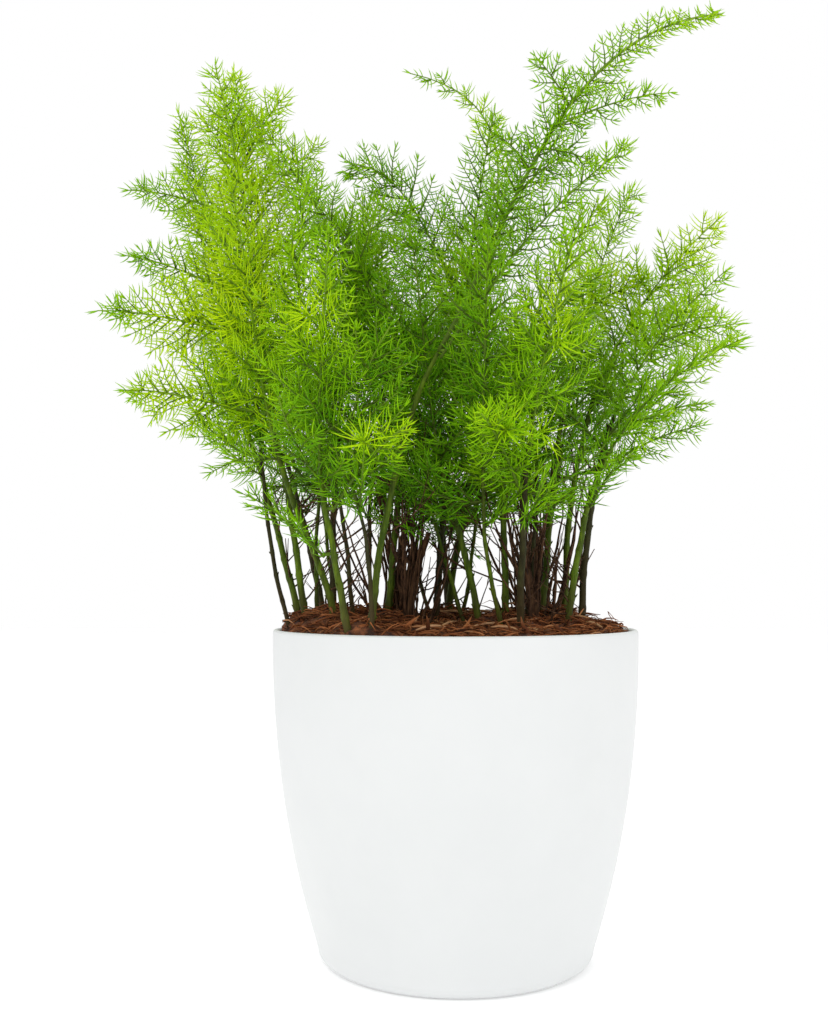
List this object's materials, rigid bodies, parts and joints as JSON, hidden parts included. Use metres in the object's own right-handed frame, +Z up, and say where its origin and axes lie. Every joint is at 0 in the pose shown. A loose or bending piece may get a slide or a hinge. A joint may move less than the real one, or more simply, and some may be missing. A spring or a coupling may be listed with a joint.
{
  "type": "potted asparagus fern",
  "caption": "Live asparagus fern with wiry upright stems and feathery needle fronds, growing from heaped coir in a plain round tapered plastic pot.",
  "frame": {"origin": "middle of the pot's flat base", "axes": "+Z up the pot's axis, -Y towards the plant's front, +X to the right as seen from the front"},
  "size_m": [0.227, 0.1719, 0.3283],
  "materials": {
    "pot": "satin",
    "soil": "rough",
    "stem": "satin",
    "stub": "rough",
    "frond": "matte"
  },
  "bodies": {
    "root": {"pot": "pot", "soil": "soil", "stem_far_right": "stem", "stem_front_middle": "stem", "stem_left_back": "stem", "stem_left_front": "stem", "stem_left_inner": "stem", "stem_left_leaning": "stem", "stem_left_outer": "stem", "stem_left_tall": "stem", "stem_middle_arching": "stem", "stem_middle_back": "stem", "stem_middle_leaning": "stem", "stem_middle_top": "stem", "stem_plume": "stem", "stem_right_back": "stem", "stem_right_front": "stem", "stem_right_inner": "stem", "stem_right_low": "stem", "stem_right_outer": "stem", "stem_right_top": "stem", "stub_1": "stub", "stub_2": "stub", "stub_3": "stub", "stub_4": "stub", "frond_far_right": "frond", "frond_front_middle": "frond", "frond_left_back": "frond", "frond_left_front": "frond", "frond_left_inner": "frond", "frond_left_leaning": "frond", "frond_left_outer": "frond", "frond_left_tall": "frond", "frond_middle_arching": "frond", "frond_middle_back": "frond", "frond_middle_leaning": "frond", "frond_middle_top": "frond", "frond_plume": "frond", "frond_right_back": "frond", "frond_right_front": "frond", "frond_right_inner": "frond", "frond_right_low": "frond", "frond_right_outer": "frond", "frond_right_top": "frond", "spray_back_left": "frond", "spray_back_right": "frond", "spray_front_left": "frond", "spray_front_right": "frond", "spray_left_1": "frond", "spray_left_2": "frond", "spray_left_3": "frond", "spray_left_4": "frond", "spray_low_left": "frond", "spray_low_right": "frond", "spray_middle": "frond", "spray_plume": "frond", "spray_right_1": "frond", "spray_right_2": "frond", "spray_right_3": "frond", "spray_right_4": "frond"}
  },
  "joints": []
}
